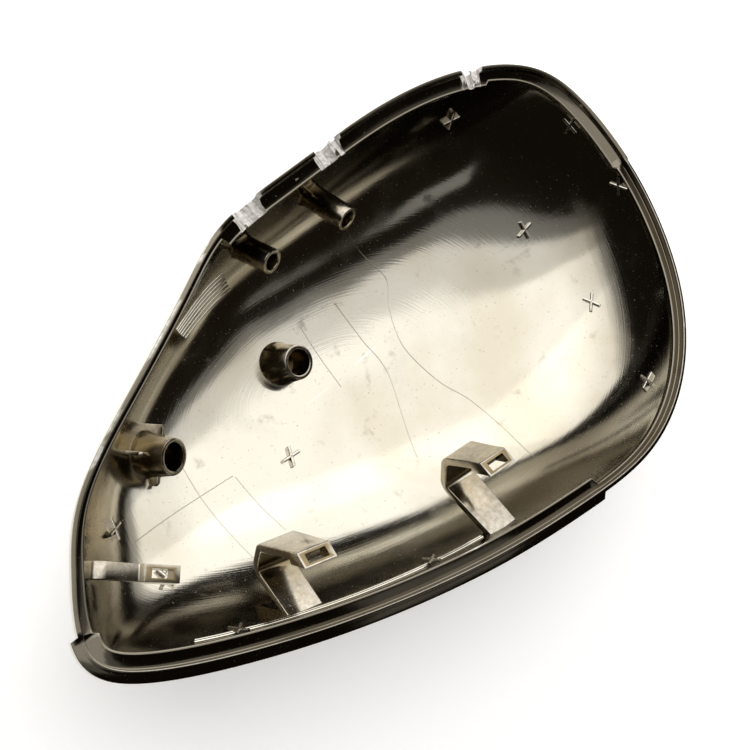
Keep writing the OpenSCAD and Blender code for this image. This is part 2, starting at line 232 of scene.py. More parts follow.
def stored(tree, name, data_type="FLOAT_VECTOR"):
    """A value kept at the points of a mesh."""
    return wired(tree, "GeometryNodeInputNamedAttribute", {"Name": name}, "Attribute", data_type=data_type)


def finish_tree(tree, geometry, material, result):
    """Ends a tree of Geometry Nodes in real geometry with its material."""
    real = wired(tree, "GeometryNodeRealizeInstances", {"Geometry": geometry})
    attach(tree, result, wired(tree, "GeometryNodeSetMaterial", {"Geometry": real, "Material": material}))


def shell_rule(skin):
    """The modifier that puts each point of the flat strip on the inner wall, the rim or the outer skin."""
    tree, value, result = group_of("GeometryNodeTree", "moulded shell", {
        "Geometry": "Geometry", "Wall": WALL, "Plating": "Material", **SHELL_SIZES}, "Geometry", "Geometry")
    level = stored(tree, "level", "FLOAT")

    def skin_at(point, at_level):
        sizes = {name: value[name] for name in SHELL_SIZES}
        return wired(tree, "GeometryNodeGroup", {
            "Outline Point": stored(tree, point), "Level": at_level, **sizes}, node_tree=skin)

    round_rim = vector_maths(
        tree, "SUBTRACT", skin_at("outline_ahead", level), skin_at("outline_behind", level))
    down_wall = vector_maths(
        tree, "SUBTRACT", skin_at("outline", maths(tree, "SUBTRACT", level, LEVEL_SAMPLE)),
        skin_at("outline", maths(tree, "ADD", level, LEVEL_SAMPLE)))
    inward = vector_maths(tree, "NORMALIZE", vector_maths(tree, "CROSS_PRODUCT", round_rim, down_wall))
    thickness = maths(tree, "MULTIPLY", stored(tree, "inside", "FLOAT"), value["Wall"])
    place = vector_maths(tree, "ADD", skin_at("outline", level), vector_maths(tree, "SCALE", inward, thickness))
    place = vector_maths(tree, "ADD", place, stored(tree, "rim_step"))
    moved = wired(tree, "GeometryNodeSetPosition", {"Geometry": value["Geometry"], "Position": place})
    finish_tree(tree, moved, value["Plating"], result)
    return tree


def grown(base, tree, values, name):
    """Runs a tree on an object and returns the result as a plain mesh object."""
    modifier = base.modifiers.new(name, "NODES")
    modifier.node_group = tree
    for item in tree.interface.items_tree:
        if item.item_type == "SOCKET" and item.in_out == "INPUT" and item.name in values:
            modifier[item.identifier] = values[item.name]
    bpy.context.view_layer.update()
    evaluated = base.evaluated_get(bpy.context.evaluated_depsgraph_get())
    mesh = bpy.data.meshes.new_from_object(evaluated)
    mesh.name = name
    base.modifiers.remove(modifier)
    piece = bpy.data.objects.new(name, mesh)
    scene.collection.objects.link(piece)
    return piece


def ramp(tree, value, start, end, low=0.0, high=1.0):
    """A soft step of a value: low up to start, high from end on."""
    return wired(tree, "ShaderNodeMapRange", {
        "Value": value, "From Min": start, "From Max": end, "To Min": low, "To Max": high},
        interpolation_type="SMOOTHSTEP")


def cloud(tree, vector, scale, detail):
    """Plain noise of one size."""
    return wired(tree, "ShaderNodeTexNoise", {"Vector": vector, "Scale": scale, "Detail": detail})


def cloudy_mask():
    """Soft patches of one size: smudges, dust, haze and stains are all made from it."""
    tree, value, result = group_of("ShaderNodeTree", "cloudy patches", {
        "Vector": "Vector", "Scale": 40.0, "Detail": 4.0, "From": 0.45, "To": 0.7}, "Mask", "Float")
    noise = cloud(tree, value["Vector"], value["Scale"], value["Detail"])
    attach(tree, result, ramp(tree, noise, value["From"], value["To"]))
    return tree


def worn_and_highlit_edge():
    """Where an edge sticks out, rubbed unevenly: partly wear, partly a painted highlight."""
    tree, value, result = group_of("ShaderNodeTree", "worn and highlit edge", {
        "Vector": "Vector", "From": 0.52, "To": 0.6}, "Mask", "Float")
    edge = wired(tree, "ShaderNodeMapRange", {
        "Value": wired(tree, "ShaderNodeNewGeometry", output="Pointiness"),
        "From Min": value["From"], "From Max": value["To"]})
    attach(tree, result, maths(tree, "MULTIPLY", edge, cloud(tree, value["Vector"], 700.0, 5.0)))
    return tree


cloudy = cloudy_mask()
edge_wear_and_highlight = worn_and_highlit_edge()


def patches(tree, vector, scale, start, end, detail=4.0):
    """The cloudy mask in a material, with that finish's own sizes."""
    sizes = {"Vector": vector, "Scale": scale, "Detail": detail, "From": start, "To": end}
    return wired(tree, "ShaderNodeGroup", sizes, node_tree=cloudy)


def tinted(tree, share, one, two):
    """A colour between two, by a mask."""
    return wired(tree, "ShaderNodeMix", {6: one, 7: two, 0: share}, output=2, data_type="RGBA")


def bumped(tree, height, depth, strength=1.0, **under):
    """A fine relief of a height, laid over the one under it."""
    return wired(tree, "ShaderNodeBump", {"Height": height, "Strength": strength, "Distance": depth, **under})


def material_of(name):
    """A new material, with its nodes, its surface and the place on the object."""
    made = bpy.data.materials.new(name)
    made.use_nodes = True
    tree = made.node_tree
    place = wired(tree, "ShaderNodeTexCoord", output="Object")
    return made, tree, tree.nodes["Principled BSDF"].inputs, place


# The finish of the bowl: bright nickel and chrome on plastic, gone warm with age, wavy where the moulding sank,
# hazy with handling, with dust in it and fine flow lines along the deep wall. Its colour also carries painted
# light:
# painted shade over the deep wall and the rim, a painted tan reflection at the narrow end, and edges rubbed
# bright, partly wear and partly a painted highlight.
CHROME = (0.62, 0.595, 0.525, 1)
CHROME_AGED = (0.52, 0.475, 0.38, 1)
# Painted reflection: a bright tan for the deep wall at the narrow end.
PAINTED_TAN_REFLECTION = (0.92, 0.80, 0.60, 1)
# Painted shade: the dark colour laid over the deep wall and the rim.
PAINTED_SHADE_COLOUR = (0.13, 0.11, 0.078, 1)
# Edges rubbed bright: partly wear, partly a painted highlight.
CHROME_RUBBED_AND_HIGHLIT = (0.86, 0.84, 0.80, 1)
GRIME = (0.17, 0.13, 0.09, 1)
# Marks on the finish: patches to the metre, the noise where they start and are full, and their detail.
AGED = (26.0, 0.42, 0.72)
SMUDGED = (70.0, 0.5, 0.74, 6.0)
SPECKS = (1500.0, 0.66, 0.78, 2.0)
GRIMY = (160.0, 0.62, 0.8, 8.0)
AGED_SHARE = 0.8
GRIMY_SHARE = 0.35
SPECKS_SHARE = 0.5
# Roughness of the clean plating, and what each mark adds to it.
HAZE = 0.1
SMUDGED_HAZE = 0.09
GRIMY_HAZE = 0.16
TAN_HAZE = 0.2
SPECKS_HAZE = 0.3
# The wall's map: once round the rim, with two added on the rim and the outer skin, and from the crown up.
# The painted shade lies in the deep wall and on the rim, and spares stretches at both ends; the painted tan
# reflection lies in the deep wall at the narrow end.
DEEP_FROM = 0.56
DEEP_FULL = 0.8
NARROW_END = (0.79, 0.84, 0.91, 0.97)
WIDE_END = (0.27, 0.32, 0.56, 0.62)
WIDE_SPARED = 0.5
OUTER_MAP = 1.5
RIM_MAP_END = 1.42
# How far the painted shade darkens the deep wall and the rim.
PAINTED_SHADE_ON_WALL = 0.94
PAINTED_SHADE_ON_RIM = 0.85
WAVE_SCALE = 38.0
WAVE_DEPTH = 0.00028
FLOW_SCALE = (9.0, 200.0, 1.0)
FLOW_DEPTH = 0.000013
FINE_SCALE = 900.0
FINE_DEPTH = 0.0000025
plating, tree, metal, place = material_of("chrome plating")
aged = patches(tree, place, *AGED)
smudged = patches(tree, place, *SMUDGED)
specks = patches(tree, place, *SPECKS)
grimy = patches(tree, place, *GRIMY)
# Edges rubbed bright, partly wear and partly a painted highlight.
rubbed_and_highlit = wired(tree, "ShaderNodeGroup", {"Vector": place}, node_tree=edge_wear_and_highlight)
colour = tinted(tree, maths(tree, "MULTIPLY", aged, AGED_SHARE), CHROME, CHROME_AGED)
colour = tinted(tree, maths(tree, "MULTIPLY", grimy, GRIMY_SHARE), colour, GRIME)
colour = tinted(tree, maths(tree, "MULTIPLY", specks, SPECKS_SHARE), colour, GRIME)
wall_map = wired(tree, "ShaderNodeUVMap", uv_map="wall")
round_it, up_it, _ = wired(tree, "ShaderNodeSeparateXYZ", {0: wall_map}, None)
deep = ramp(tree, up_it, DEEP_FROM, DEEP_FULL)


def stretch_of_rim(start, full, fading, end):
    """A mask along the rim: nothing before start, all of it from full to fading, nothing after end."""
    grows = ramp(tree, round_it, start, full)
    return maths(tree, "MULTIPLY", grows, ramp(tree, round_it, fading, end, 1.0, 0.0))


narrow_end = stretch_of_rim(*NARROW_END)
wide_end = stretch_of_rim(*WIDE_END)
outer_side = maths(tree, "GREATER_THAN", round_it, OUTER_MAP)
inner_side = maths(tree, "SUBTRACT", 1.0, outer_side)
spared = maths(tree, "MAXIMUM", narrow_end, maths(tree, "MULTIPLY", wide_end, WIDE_SPARED))
# The painted shade's mask: the deep wall away from the spared stretches, and the rim.
painted_shade = maths(tree, "MULTIPLY", deep, maths(tree, "SUBTRACT", 1.0, spared))
painted_shade = maths(tree, "MULTIPLY", painted_shade, inner_side)
on_rim = maths(tree, "MULTIPLY", outer_side, maths(tree, "LESS_THAN", up_it, RIM_MAP_END))
painted_shade = maths(tree, "MULTIPLY_ADD", on_rim, PAINTED_SHADE_ON_RIM, maths(tree, "MULTIPLY", painted_shade, PAINTED_SHADE_ON_WALL))
# Painted shade: the deep wall and the rim darkened in the colour.
colour = tinted(tree, painted_shade, colour, PAINTED_SHADE_COLOUR)
# Painted reflection: the deep wall at the narrow end made bright tan in the colour, and a little rougher.
painted_tan_reflection = maths(tree, "MULTIPLY", narrow_end, maths(tree, "MULTIPLY", deep, inner_side))
colour = tinted(tree, painted_tan_reflection, colour, PAINTED_TAN_REFLECTION)
# Painted highlight, partly wear: the edges that stick out made bright in the colour.
attach(tree, metal["Base Color"], tinted(tree, rubbed_and_highlit, colour, CHROME_RUBBED_AND_HIGHLIT))
metal["Metallic"].default_value = 1
haze = maths(tree, "MULTIPLY_ADD", smudged, SMUDGED_HAZE, HAZE)
haze = maths(tree, "MULTIPLY_ADD", grimy, GRIMY_HAZE, haze)
haze = maths(tree, "MULTIPLY_ADD", painted_tan_reflection, TAN_HAZE, haze)
attach(tree, metal["Roughness"], maths(tree, "MULTIPLY_ADD", specks, SPECKS_HAZE, haze))
along_wall = wired(tree, "ShaderNodeMapping", {"Vector": wall_map, "Scale": FLOW_SCALE})
waves = bumped(tree, cloud(tree, place, WAVE_SCALE, 1.0), WAVE_DEPTH)
lines = bumped(tree, cloud(tree, along_wall, 1.0, 3.0), FLOW_DEPTH, Normal=waves)
attach(tree, metal["Normal"], bumped(tree, cloud(tree, place, FINE_SCALE, 2.0), FINE_DEPTH, Normal=lines))

# How far either side of a station the direction of the rim is taken, in stations.
SAMPLE = 0.01


def strip_of(points, faces, face_uvs):
    """A flat strip lifted by the shell tree. A point: its station, its level, inside or not, and a rim step."""
    vectors = ("outline", "outline_ahead", "outline_behind", "rim_step")
    values = {name: np.zeros((len(points), 3), np.float32) for name in vectors}
    values["level"] = np.array([p[1] for p in points], np.float32)
    values["inside"] = np.array([p[2] for p in points], np.float32)
    known = {}
    for number, (station, _, _, step) in enumerate(points):
        if station not in known:
            known[station] = [outline_point(station + k) for k in (0, SAMPLE, -SAMPLE)]
        here, forward, backward = known[station]
        values["outline"][number] = here
        values["outline_ahead"][number] = forward
        values["outline_behind"][number] = backward
        if step:
            along = (forward - backward).normalized()
            values["rim_step"][number] = (along.y * step[0], -along.x * step[0], step[1])
    mesh = bpy.data.meshes.new("strip")
    mesh.from_pydata(values["outline"].tolist(), [], faces)
    for name, array in values.items():
        kind = "FLOAT" if array.ndim == 1 else "FLOAT_VECTOR"
        attribute = mesh.attributes.new(name, kind, "POINT")
        attribute.data.foreach_set("value" if kind == "FLOAT" else "vector", array.ravel())
    if faces:
        mesh.uv_layers.new(name="wall").data.foreach_set("uv", np.array(face_uvs, np.float32).ravel())
    base = bpy.data.objects.new("strip", mesh)
    scene.collection.objects.link(base)
    lifted = grown(base, shell_tree, {"Plating": plating}, "shell")
    bpy.data.objects.remove(base)
    return lifted


shell_tree = shell_rule(skin_rule())
stations = []
for number, zone in enumerate(RIM_ZONES):
    start = zone[0] + ZONE_GAP
    last = RIM_ZONES[number + 1][0] if number + 1 < len(RIM_ZONES) else RIM_ZONES[0][0] + STATIONS
    count = math.ceil((last - ZONE_GAP - start) / STATION_STEP)
    stations += [(start + (last - ZONE_GAP - start) * k / count, zone) for k in range(count + 1)]

# A first pass finds the levels where each section meets its ledge inside and the foot of its lip outside.
trial_levels = np.linspace(0.6, 1.0, 41)
trial = strip_of([(s, f, side, None) for s, _ in stations for side in (1, 0) for f in trial_levels], [], [])
trial_places = np.zeros(len(trial.data.vertices) * 3)
trial.data.vertices.foreach_get("co", trial_places)
trial_places = trial_places.reshape(len(stations), 2, len(trial_levels), 3)
bpy.data.objects.remove(trial)
points = []
for (station, (_, ledge, lip, face_h, fall, tip)), (wall_line, skin_line) in zip(stations, trial_places):
    rim = skin_line[-1]
    top = np.interp(rim[2] - LEDGE_DROP - max(fall, 0) - BEAD_H, wall_line[:, 2], trial_levels)
    under = np.interp(rim[2] - FLANGE_DROP - face_h - UNDER_DROP, skin_line[:, 2], trial_levels)
    along = (outline_point(station + SAMPLE) - outline_point(station - SAMPLE)).normalized()
    meets = [np.interp(top, trial_levels, wall_line[:, axis]) - rim[axis] for axis in (0, 1)]
    inner = min(-EDGE_T - ledge, meets[0] * along.y - meets[1] * along.x)
    profile = rim_profile(inner, lip, face_h, fall, tip)
    points += [(station, top * (j + 1) / (INNER_LEVELS + 1), 1, None) for j in range(INNER_LEVELS)]
    points += [(station, 1.0, 0, (out, height)) for out, height in profile]
    points += [(station, under * (OUTER_LEVELS - j) / OUTER_LEVELS, 0, None) for j in range(OUTER_LEVELS)]
row_length = len(points) // len(stations)
crown = len(points)
points += [(stations[0][0], 1e-4, 1, None), (stations[0][0], 1e-4, 0, None)]
faces = []
face_uvs = []
for i in range(len(stations)):
    k = (i + 1) % len(stations)
    u0 = stations[i][0] / STATIONS
    u1 = (stations[k][0] + (STATIONS if k == 0 else 0)) / STATIONS
    for j in range(row_length - 1):
        faces.append((i * row_length + j, i * row_length + j + 1, k * row_length + j + 1, k * row_length + j))
        side = 0 if j < INNER_LEVELS else 2
        v0, v1 = j / INNER_LEVELS, (j + 1) / INNER_LEVELS
        face_uvs += [(u0 + side, v0), (u0 + side, v1), (u1 + side, v1), (u1 + side, v0)]
    faces.append((crown, i * row_length, k * row_length))
    face_uvs += [(u0, 0), (u0, 1 / INNER_LEVELS), (u1, 1 / INNER_LEVELS)]
    faces.append((crown + 1, (k + 1) * row_length - 1, (i + 1) * row_length - 1))
    face_uvs += [(u0 + 2, 1), (u1 + 2, 1), (u0 + 2, 1)]
shell = strip_of(points, faces, face_uvs)


# Broken edge: three places where the rim has snapped off, each a ragged bite through ledge and wall.
# It broke after it was plated, so the faces of the break are bare pale plastic.
NOTCHES = [(15.6, 1, 1), (14.57, 1, -1), (12.8, 0.8, 1)]
NOTCH_LINE = [(-0.5, 0.4), (-0.46, -0.7), (-0.24, -0.52), (-0.05, -1), (0.16, -0.66), (0.4, -0.86), (0.5, 0.4)]
NOTCH_L = 0.011
NOTCH_H = 0.005
NOTCH_THROUGH = 0.009
NOTCH_STEPS = 6
NOTCH_SHAKE = 0.0003
NOTCH_ROWS = (-1, -0.2, 0.2, 1)
dice = np.random.default_rng(7)

# The plastic under the plating, pale, matt and torn in fibres.
BARE = (0.90, 0.88, 0.86, 1)
BARE_SHADE = (0.70, 0.67, 0.63, 1)
TORN = (1100.0, 0.4, 0.65, 5.0)
TORN_DEPTH = 0.00015
DUSTY = (420.0, 0.5, 0.8)
DUSTY_SHARE = 0.5
BARE_ROUGH = 0.5
TORN_ROUGH = 0.25
bare, tree, plastic, place = material_of("bare plastic")
torn = patches(tree, place, *TORN)
colour = tinted(tree, torn, BARE, BARE_SHADE)
dust = maths(tree, "MULTIPLY", patches(tree, place, *DUSTY), DUSTY_SHARE)
attach(tree, plastic["Base Color"], tinted(tree, dust, colour, GRIME))
attach(tree, plastic["Roughness"], maths(tree, "MULTIPLY_ADD", torn, TORN_ROUGH, BARE_ROUGH))
attach(tree, plastic["Normal"], bumped(tree, torn, TORN_DEPTH, 0.8))


def solid(name, vertices, faces, material, bevel=0.0):
    """A closed piece on the body: its faces made to point outwards, its edges rounded."""
    mesh = bpy.data.meshes.new(name)
    mesh.from_pydata([tuple(v) for v in vertices], [], faces)
    mesh.materials.append(material)
    work = bmesh.new()
    work.from_mesh(mesh)
    bmesh.ops.recalc_face_normals(work, faces=work.faces)
    if bevel:
        sharp = [e for e in work.edges if len(e.link_faces) == 2 and e.calc_face_angle() > math.radians(30)]
        bmesh.ops.bevel(
            work, geom=sharp, offset=bevel, segments=3, profile=0.5, affect="EDGES", clamp_overlap=True)
        bmesh.ops.recalc_face_normals(work, faces=work.faces)
    work.to_mesh(mesh)
    work.free()
    piece = bpy.data.objects.new(name, mesh)
    scene.collection.objects.link(piece)
    return piece


def lofted(name, rows, material, bevel=0.0):
    """A closed solid through rows of as many points each, with a face over the first row and over the last."""
    count = len(rows[0])
    last = count * (len(rows) - 1)
    faces = [tuple(range(count)), tuple(range(last + count - 1, last - 1, -1))]
    for start in range(0, last, count):
        for k in range(count):
            nxt = (k + 1) % count
            faces.append((start + k, start + nxt, start + count + nxt, start + count + k))
    return solid(name, [v for row in rows for v in row], faces, material, bevel)


def cut(piece, cutter):
    """Takes one solid out of another and returns the result in the first one's place."""
    modifier = piece.modifiers.new("cut", "BOOLEAN")
    modifier.operation = "DIFFERENCE"
    modifier.solver = "MANIFOLD"
    modifier.material_mode = "TRANSFER"
    modifier.object = cutter
    bpy.context.view_layer.update()
    mesh = bpy.data.meshes.new_from_object(piece.evaluated_get(bpy.context.evaluated_depsgraph_get()))
    piece.modifiers.remove(modifier)
    mesh.name = piece.name
    piece.data = mesh
    bpy.data.objects.remove(cutter)


def fitted(piece, angle=38):
    """Smooth faces with crisp edges, on the one body."""
    piece.data.shade_smooth()
    piece.data.set_sharp_from_angle(angle=math.radians(angle))
    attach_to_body(piece, "root")


# The wall before it broke: the pieces below take their seats on it.
wall_faces = BVHTree.FromPolygons(
    [v.co[:] for v in shell.data.vertices], [f.vertices[:] for f in shell.data.polygons])
for station, size, flip in NOTCHES:
    at = strip_of([(station, 1.0, 0, None)], [], [])
    rim = at.data.vertices[0].co.copy()
    bpy.data.objects.remove(at)
    along = (outline_point(station + SAMPLE) - outline_point(station - SAMPLE)).normalized()
    out = Vector((along.y, -along.x, 0))
    line = []
    for (x0, y0), (x1, y1) in zip(NOTCH_LINE, NOTCH_LINE[1:]):
        for k in range(NOTCH_STEPS):
            share = k / NOTCH_STEPS
            line.append((x0 + (x1 - x0) * share, y0 + (y1 - y0) * share))
    line.append(NOTCH_LINE[-1])
    rows = []
    for side in NOTCH_ROWS:
        rows.append([
            rim + along * (-flip * x * NOTCH_L * size + dice.normal(0, NOTCH_SHAKE))
            + out * side * NOTCH_THROUGH
            + Vector((0, 0, y * NOTCH_H * size + (dice.normal(0, NOTCH_SHAKE) if y < 0.3 else 0)))
            for x, y in line])
    cut(shell, lofted("break", rows, bare))
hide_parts("mirror_cover")
fitted(shell)


# Hooks: two bent straps that run in from the long wall and stand up over the bowl, each with an eye at its end.
# They are moulded in one with the shell and plated with it.
HOOK_W = 0.0108
EYE_W = 0.0096
HOOK_T = 0.0024
HOOK_BEND = 0.002
EYE_D = 0.0038
EYE_H = 0.005
EYE_RIM = 0.001
EYE_END = 0.0018
EYE_SLOPE = 0.75
EYE_CUT = 0.01
HOOK_EDGE = 0.0003
CORNERS = ((-1, -1), (1, -1), (1, 1), (-1, 1))
HOOKS = {
    "hook_near": ((-0.05202, -0.05679, 0.03106), 87.5,
                  [(-0.0013, 0.0007), (0.0135, -0.0093), (0.0187, -0.001), (0.0148, 0.0146)]),
    "hook_far": ((0.01306, -0.06042, 0.03215), 98.3,
                 [(-0.0013, 0.001), (0.0177, -0.0072), (0.0245, 0.0004), (0.021, 0.0105)]),
}

# The plating of hooks, posts and crosses: dark and dull on their faces, the dark being painted shade, and
# rubbed bright on their edges, partly wear and partly a painted highlight.
PAINTED_SHADE_PLATING = (0.24, 0.19, 0.11, 1)
PAINTED_SHADE_PLATING_DARK = (0.17, 0.135, 0.08, 1)
# Edges rubbed bright: partly wear, partly a painted highlight.
EDGE_RUBBED_AND_HIGHLIT = (0.92, 0.90, 0.86, 1)
UNEVEN = (110.0, 0.35, 0.7, 3.0)
DULL_HAZE = 0.13
UNEVEN_HAZE = 0.12
DULL_SPECKS_HAZE = 0.25
EDGE_WEAR_AND_HIGHLIGHT_RANGE = {"From": 0.51, "To": 0.56}
GRAIN = (500.0, 3.0)
GRAIN_DEPTH = 0.00001
# Painted shade: a darker copy of the bowl's plating for the raised parts.
plating_with_painted_shade, tree, metal, place = material_of("plating with painted shade")
uneven = patches(tree, place, *UNEVEN)
# Painted highlight, partly wear: the edges that stick out made bright in the colour.
rubbed_and_highlit = wired(tree, "ShaderNodeGroup", {"Vector": place, **EDGE_WEAR_AND_HIGHLIGHT_RANGE}, node_tree=edge_wear_and_highlight)
# Painted shade: the faces darkened in the colour, unevenly at random.
attach(tree, metal["Base Color"], tinted(tree, rubbed_and_highlit, tinted(tree, uneven, PAINTED_SHADE_PLATING, PAINTED_SHADE_PLATING_DARK), EDGE_RUBBED_AND_HIGHLIT))
metal["Metallic"].default_value = 1
haze = maths(tree, "MULTIPLY_ADD", uneven, UNEVEN_HAZE, DULL_HAZE)
specks = patches(tree, place, *SPECKS)
attach(tree, metal["Roughness"], maths(tree, "MULTIPLY_ADD", specks, DULL_SPECKS_HAZE, haze))
attach(tree, metal["Normal"], bumped(tree, cloud(tree, place, *GRAIN), GRAIN_DEPTH))


def strap_side(path, offset):
    """A path moved sideways by an offset, point by point."""
    moved = []
    for k, p in enumerate(path):
        ahead = (path[k + 1] - p).normalized() if k + 1 < len(path) else Vector((0, 0))
        behind = (p - path[k - 1]).normalized() if k else Vector((0, 0))
        d = (ahead + behind).normalized()
        moved.append(p + offset * Vector((-d.y, d.x)))
    return moved


def extruded(name, outline, half_width, seat, turn, bevel):
    """A side outline given its width both ways, stood on the wall and turned into the bowl."""
    turning = Matrix.Rotation(math.radians(turn), 3, "Z")
    return lofted(name, [
        [Vector(seat) + turning @ Vector((p.x, side * half_width(p), p.y)) for p in outline]
        for side in (-1, 1)], plating_with_painted_shade, bevel)


for name, (seat, turn, path) in HOOKS.items():
    path = [Vector(p) for p in path]
    end = path[3]
    plate_l = (end - path[2]).length
    rise = (end - path[2]).normalized()
    back_way = Vector((-rise.y, rise.x))
    face = end - back_way * HOOK_T / 2
    slope = EYE_D * EYE_SLOPE
    strap = rounded_path(path, HOOK_BEND + HOOK_T / 2, 5)
    eye = [face + back_way * EYE_D, face + back_way * EYE_D + rise * (EYE_H + slope), face + rise * EYE_H]
    outline = strap_side(strap, HOOK_T / 2) + eye + strap_side(strap, -HOOK_T / 2)[::-1]

    def half_width(p):
        share = max(0, min(1, (p - path[2]).dot(rise) / plate_l))
        return (HOOK_W + (EYE_W - HOOK_W) * share) / 2

    hook = extruded(name, outline, half_width, seat, turn, HOOK_EDGE)
    middle = (eye[1] + eye[2]) / 2
    lean = (eye[1] - eye[2]).normalized()
    through = Vector((-lean.y, lean.x))
    window_h = (eye[1] - eye[2]).length / 2 - EYE_RIM
    window = [middle + lean * a * window_h + through * b * EYE_CUT for a, b in CORNERS]
    cut(hook, extruded("window", window, lambda p: EYE_W / 2 - EYE_END, seat, turn, 0))
    fitted(hook, 30)


# Small hook: a thin strap at the narrow end of the bowl with an upright frame at its tip.
# It is moulded in one with the shell and plated with it.
SMALL_PATH = [(-0.0013, -0.001), (0.0025, 0.003), (0.0125, 0.0006), (0.014, 0.0006)]
SMALL_W = 0.0044
SMALL_L = 0.01
SMALL_TAIL = 0.001
SMALL_H = 0.005
SMALL_RISE = 0.002
SMALL_SEAT = (-0.10074, -0.02563, 0.03221)
SMALL_TURN = -26
path = [Vector(p) for p in SMALL_PATH]
strap = rounded_path(path, HOOK_BEND + HOOK_T / 2, 4)
end = path[3]
reach = SMALL_L - SMALL_TAIL
frame_side = [end + Vector(v) for v in (
    (0, SMALL_RISE), (reach, SMALL_RISE), (reach, SMALL_RISE - SMALL_H), (0, SMALL_RISE - SMALL_H))]
outline = strap_side(strap, HOOK_T / 2)[:-1] + frame_side + strap_side(strap, -HOOK_T / 2)[-2::-1]
small = extruded("hook_small", outline, lambda p: SMALL_W / 2, SMALL_SEAT, SMALL_TURN, HOOK_EDGE)
half = reach / 2 - EYE_END
window = [end + Vector((reach / 2, 0)) + Vector((a * half, b * 2 * EYE_CUT)) for a, b in CORNERS]
cut(small, extruded("window", window, lambda p: SMALL_W / 2 - EYE_RIM, SMALL_SEAT, SMALL_TURN, 0))
fitted(small, 30)


# Bosses and tubes: hollow round posts with a blind bore, moulded in one with the shell and plated with it.
# Two squat bosses stand on the floor of the bowl, and two slender tubes on the long upper wall.

# Each one's seat, axis, height, width at the root and at the end, and the width and depth of its bore.
STUDS = {
    "boss_mid": ((-0.0172, 0.0081, 0.0028), (0.157, -0.245, 0.957), 0.0095, 0.0126, 0.0104, 0.0077, 0.008),
    "boss_end": ((-0.0671, -0.0033, 0.0075), (0.428, -0.389, 0.816), 0.0095, 0.0126, 0.0104, 0.0077, 0.008),
    "tube_corner": ((-0.0228, 0.0418, 0.0202), (0.292, -0.709, 0.642), 0.012, 0.0076, 0.0076, 0.0048, 0.008),
    "tube_upper": ((0.0026, 0.0502, 0.0235), (0.255, -0.802, 0.54), 0.0155, 0.0076, 0.0076, 0.0048, 0.008),
}
STUD_SIDES = 64
STUD_FILLET = 0.0007
STUD_EDGE = 0.00035
STUD_SINK = 0.0008
STUD_CAP = 0.0004
BORE_TIP = 0.0002


def frame_on(axis):
    """An axis made one long, and two directions square to it and to each other."""
    axis = Vector(axis).normalized()
    first = axis.cross(Vector((0, 0, 1))).normalized()
    return axis, first, axis.cross(first)


for name, (seat, axis, height, root_d, end_d, bore, bore_h) in STUDS.items():
    axis, one, two = frame_on(axis)
    seat = Vector(seat)
    spokes = [math.tau * k / STUD_SIDES for k in range(STUD_SIDES)]

    def wall_along(radius, spoke):
        """How far up the axis the wall lies at a place round the root."""
        start = seat + axis * height + (one * math.cos(spoke) + two * math.sin(spoke)) * radius
        place, _, _, _ = wall_faces.ray_cast(start, -axis)
        return (place - seat).dot(axis) if place else 0.0

    root = [wall_along(root_d / 2, spoke) for spoke in spokes]
    edge_in = height - STUD_EDGE
    edge_mid = height - STUD_EDGE * 0.3
    # Radius, height up the axis, and how much of the wall's own rise there each ring follows.
    profile = [
        (root_d / 2 + STUD_FILLET, -STUD_SINK, 1), (root_d / 2 + STUD_FILLET * 0.4, STUD_FILLET * 0.25, 1),
        (root_d / 2, STUD_FILLET, 1), (root_d / 2 + (end_d - root_d) * 0.25, height * 0.5, 0.35),
        (end_d / 2, edge_in, 0), (end_d / 2 - STUD_EDGE * 0.3, edge_mid, 0),
        (end_d / 2 - STUD_EDGE, height, 0), (bore / 2 + STUD_EDGE, height, 0),
        (bore / 2 + STUD_EDGE * 0.3, edge_mid, 0), (bore / 2, edge_in, 0),
        (bore / 2 * 0.96, height - bore_h, 0), (bore / 2 * 0.5, height - bore_h - BORE_TIP, 0),
    ]
    vertices = []
    for radius, up_axis, follows in profile:
        for spoke, base in zip(spokes, root):
            rise = up_axis + base * follows
            vertices.append(seat + (one * math.cos(spoke) + two * math.sin(spoke)) * radius + axis * rise)
    rows = len(profile)
    faces = []
    for start in range(0, (rows - 1) * STUD_SIDES, STUD_SIDES):
        for k in range(STUD_SIDES):
            here, nxt = start + k, start + (k + 1) % STUD_SIDES
            faces.append((here, nxt, nxt + STUD_SIDES, here + STUD_SIDES))
    vertices += [seat - axis * (STUD_SINK + STUD_CAP), seat + axis * (height - bore_h - BORE_TIP)]
    faces += [(rows * STUD_SIDES, (k + 1) % STUD_SIDES, k) for k in range(STUD_SIDES)]
    last = (rows - 1) * STUD_SIDES
    faces += [(rows * STUD_SIDES + 1, last + k, last + (k + 1) % STUD_SIDES) for k in range(STUD_SIDES)]
    fitted(solid(name, vertices, faces, plating_with_painted_shade))


# Gussets and fin: thin ribs moulded in one with the posts and the wall, and plated with them.
# Four stand round the boss at the narrow end, and one runs up the wall from the long tube.
GUSSET_R = 0.0084
GUSSET_H = 0.005
GUSSET_SINK = 0.0007
GUSSET_CLEAR = 0.0004
GUSSET_EASE = 0.0008
GUSSET_TURN = 20
RIB_T = 0.0012
RIB_EDGE = 0.0002


def plate(name, corners, thick_way, thickness, bevel):
    """A thin flat rib between corner points, with its thickness square to them."""
    half = Vector(thick_way).normalized() * thickness / 2
    return lofted(name, [[Vector(c) + side * half for c in corners] for side in (-1, 1)], plating_with_painted_shade, bevel)


